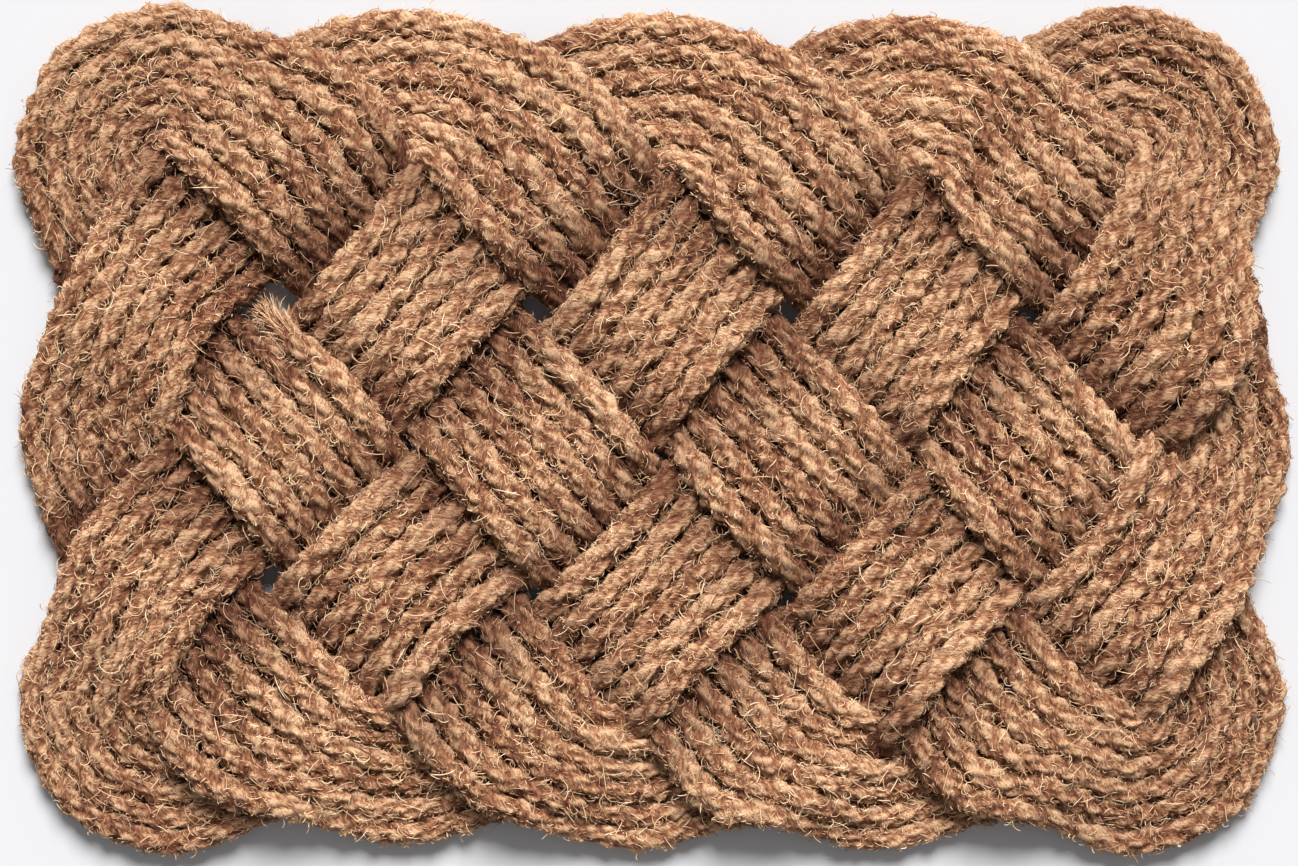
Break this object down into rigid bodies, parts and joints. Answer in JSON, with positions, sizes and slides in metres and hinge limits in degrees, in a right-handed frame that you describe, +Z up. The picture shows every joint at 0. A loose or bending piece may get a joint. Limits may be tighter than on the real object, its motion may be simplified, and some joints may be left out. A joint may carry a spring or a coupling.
{
  "type": "door mat",
  "caption": "Flat door mat woven from coir rope: a band of parallel rope laps goes over and under itself in a rectangular basket knot with scalloped edges and lobed corners.",
  "frame": {"origin": "On the floor under the middle of the mat, at the centre of the bottom of its box.", "axes": "+X runs along the mat's length to the right, +Y runs across its width to the back edge, and +Z is up out of the mat's face."},
  "size_m": [0.6, 0.4, 0.0297],
  "materials": {
    "coir": "matt, hairy laid coconut-fibre rope",
    "twine": "matt spun coir twine"
  },
  "bodies": {
    "root": {"rope_lap_1": "coir", "rope_lap_2": "coir", "rope_lap_3": "coir", "rope_lap_4": "coir", "rope_lap_5": "coir", "rope_lap_6": "coir", "lashing_start": "twine", "lashing_finish": "twine"}
  },
  "joints": []
}
